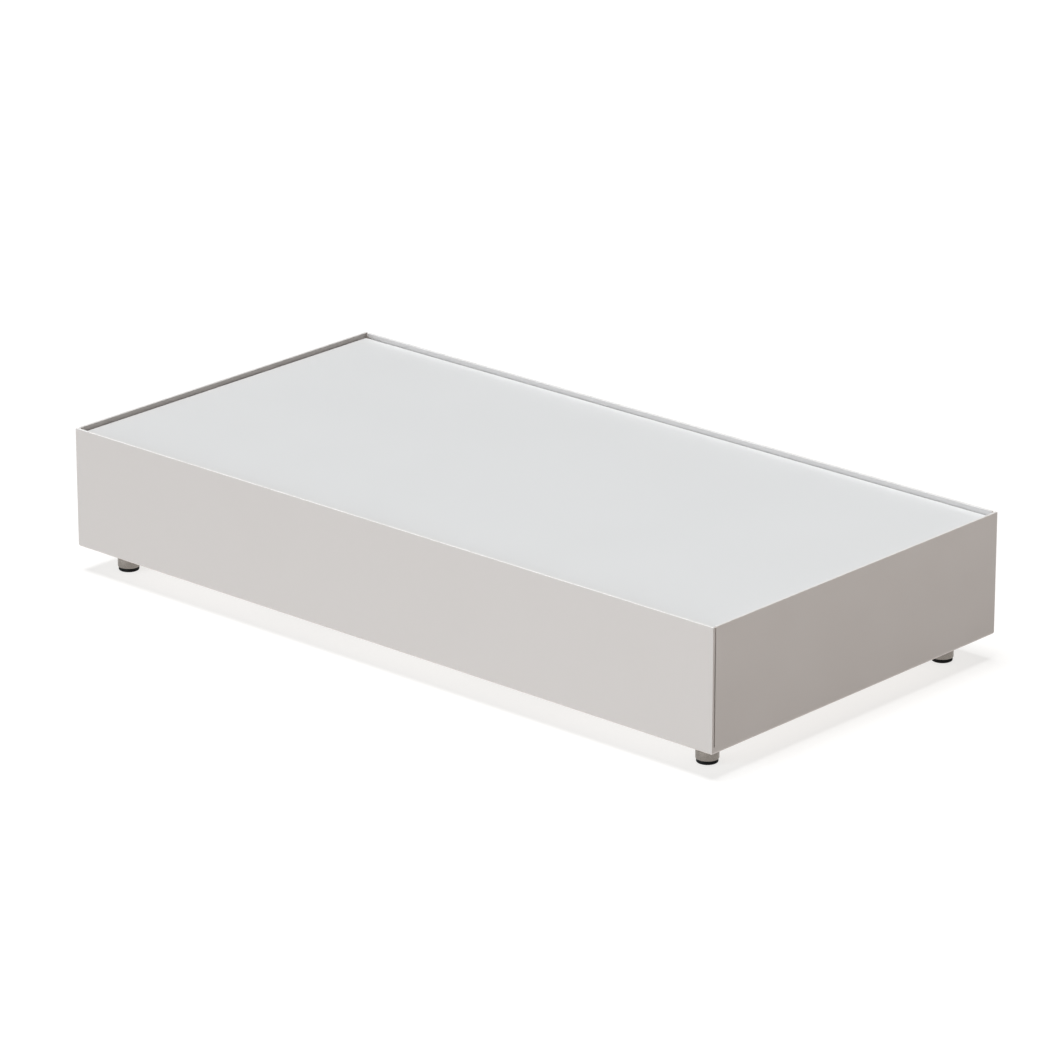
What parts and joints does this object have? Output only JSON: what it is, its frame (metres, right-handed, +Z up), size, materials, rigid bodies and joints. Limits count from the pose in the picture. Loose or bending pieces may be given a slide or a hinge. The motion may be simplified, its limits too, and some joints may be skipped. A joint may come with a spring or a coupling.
{
  "type": "light box",
  "caption": "Low rectangular sheet-metal light box on levelling feet, with a recessed opal diffuser panel over fluorescent lamps.",
  "frame": {"origin": "on the floor, under the middle of the casing, at the lowest face of the foot pads", "axes": "+X along the long side to the right, +Y from the front to the rear wall that holds the power inlet, +Z up"},
  "size_m": [0.664, 0.3387, 0.12],
  "materials": {
    "casing_paint": "satin warm light-grey powder coat",
    "white_sheet": "matt white reflective paint",
    "foam": "white closed-cell foam tape",
    "opal_acrylic": "opal white acrylic, satin face",
    "zinc_steel": "bright zinc plate",
    "white_plastic": "moulded white",
    "rotor_plastic": "moulded white",
    "lamp_glass": "white phosphor-coated tube",
    "lamp_cap": "rolled aluminium",
    "contact_brass": "plain brass",
    "circuit_board": "circuit board",
    "terminal_plastic": "moulded white",
    "black_plastic": "fine-grained black moulding",
    "rocker_plastic": "smooth black moulding",
    "fuse_glass": "clear glass body",
    "wire_sheath": "white insulation",
    "earth_sheath": "green insulation",
    "foot_metal": "satin turned",
    "foot_rubber": "black rubber",
    "stud_steel": "zinc-plated thread"
  },
  "bodies": {
    "box": {"ballast_board": "circuit_board", "ballast_case": "zinc_steel", "ballast_cover": "zinc_steel", "ballast_screws": "zinc_steel", "ballast_terminals": "terminal_plastic", "casing": "casing_paint", "earth_nut": "zinc_steel", "earth_stud": "zinc_steel", "earth_wire": "earth_sheath", "foam_tape": "foam", "foot_inserts": "zinc_steel", "gear_plate": "white_sheet", "inlet_blades": "contact_brass", "inlet_body": "black_plastic", "inlet_screws": "zinc_steel", "lamp_wires": "wire_sheath", "lampholder_left_1": "white_plastic", "lampholder_left_2": "white_plastic", "lampholder_left_3": "white_plastic", "lampholder_right_1": "white_plastic", "lampholder_right_2": "white_plastic", "lampholder_right_3": "white_plastic", "ledge_front": "white_sheet", "ledge_left": "white_sheet", "ledge_rear": "white_sheet", "ledge_right": "white_sheet", "mains_wires": "wire_sheath", "plate_bracket_left": "zinc_steel", "plate_bracket_right": "zinc_steel", "plate_screws": "zinc_steel", "wire_clips": "terminal_plastic"},
    "diffuser": {"diffuser_panel": "opal_acrylic"},
    "lamp_1": {"lamp_glass_1": "lamp_glass", "lamp_caps_1": "lamp_cap", "lamp_pins_1": "contact_brass", "lamp_rotors_1": "rotor_plastic"},
    "lamp_2": {"lamp_glass_2": "lamp_glass", "lamp_caps_2": "lamp_cap", "lamp_pins_2": "contact_brass", "lamp_rotors_2": "rotor_plastic"},
    "lamp_3": {"lamp_glass_3": "lamp_glass", "lamp_caps_3": "lamp_cap", "lamp_pins_3": "contact_brass", "lamp_rotors_3": "rotor_plastic"},
    "rocker": {"power_rocker": "rocker_plastic"},
    "fuse_tray": {"fuse_drawer": "black_plastic", "fuse": "fuse_glass"},
    "glide_front_left": {"foot_pad_front_left": "foot_rubber", "foot_cup_front_left": "foot_metal"},
    "screw_front_left": {"foot_stud_front_left": "stud_steel"},
    "glide_front_right": {"foot_pad_front_right": "foot_rubber", "foot_cup_front_right": "foot_metal"},
    "screw_front_right": {"foot_stud_front_right": "stud_steel"},
    "glide_rear_left": {"foot_pad_rear_left": "foot_rubber", "foot_cup_rear_left": "foot_metal"},
    "screw_rear_left": {"foot_stud_rear_left": "stud_steel"},
    "glide_rear_right": {"foot_pad_rear_right": "foot_rubber", "foot_cup_rear_right": "foot_metal"},
    "screw_rear_right": {"foot_stud_rear_right": "stud_steel"}
  },
  "joints": [
    {"name": "diffuser_lift", "type": "slide", "parent": "box", "child": "diffuser", "axis": [0, 0, 1], "range_m": [0, 0.06]},
    {"name": "lamp_1_turn", "type": "hinge", "parent": "box", "child": "lamp_1", "pos_m": [0, -0.105, 0.076], "axis": [1, 0, 0], "range_deg": [0, 90]},
    {"name": "lamp_2_turn", "type": "hinge", "parent": "box", "child": "lamp_2", "pos_m": [0, 0, 0.076], "axis": [1, 0, 0], "range_deg": [0, 90]},
    {"name": "lamp_3_turn", "type": "hinge", "parent": "box", "child": "lamp_3", "pos_m": [0, 0.105, 0.076], "axis": [1, 0, 0], "range_deg": [0, 90]},
    {"name": "rocker_press", "type": "hinge", "parent": "box", "child": "rocker", "pos_m": [0.1629, 0.166, 0.038], "axis": [1, 0, 0], "range_deg": [0, 20]},
    {"name": "fuse_tray_pull", "type": "slide", "parent": "box", "child": "fuse_tray", "axis": [0, 1, 0], "range_m": [0, 0.014]},
    {"name": "front_left_level", "type": "slide", "parent": "box", "child": "glide_front_left", "axis": [0, 0, -1], "range_m": [-0.003, 0.008]},
    {"name": "front_left_screw", "type": "hinge", "parent": "glide_front_left", "child": "screw_front_left", "pos_m": [-0.304, -0.139, 0.016], "axis": [0, 0, -1], "range_deg": [-865, 2305]},
    {"name": "front_right_level", "type": "slide", "parent": "box", "child": "glide_front_right", "axis": [0, 0, -1], "range_m": [-0.003, 0.008]},
    {"name": "front_right_screw", "type": "hinge", "parent": "glide_front_right", "child": "screw_front_right", "pos_m": [0.304, -0.139, 0.016], "axis": [0, 0, -1], "range_deg": [-865, 2305]},
    {"name": "rear_left_level", "type": "slide", "parent": "box", "child": "glide_rear_left", "axis": [0, 0, -1], "range_m": [-0.003, 0.008]},
    {"name": "rear_left_screw", "type": "hinge", "parent": "glide_rear_left", "child": "screw_rear_left", "pos_m": [-0.304, 0.139, 0.016], "axis": [0, 0, -1], "range_deg": [-865, 2305]},
    {"name": "rear_right_level", "type": "slide", "parent": "box", "child": "glide_rear_right", "axis": [0, 0, -1], "range_m": [-0.003, 0.008]},
    {"name": "rear_right_screw", "type": "hinge", "parent": "glide_rear_right", "child": "screw_rear_right", "pos_m": [0.304, 0.139, 0.016], "axis": [0, 0, -1], "range_deg": [-865, 2305]}
  ],
  "couplings": [
    {"joint": "front_left_screw", "follows": "front_left_level", "rad_per_m": 5026.5},
    {"joint": "front_right_screw", "follows": "front_right_level", "rad_per_m": 5026.5},
    {"joint": "rear_left_screw", "follows": "rear_left_level", "rad_per_m": 5026.5},
    {"joint": "rear_right_screw", "follows": "rear_right_level", "rad_per_m": 5026.5}
  ]
}
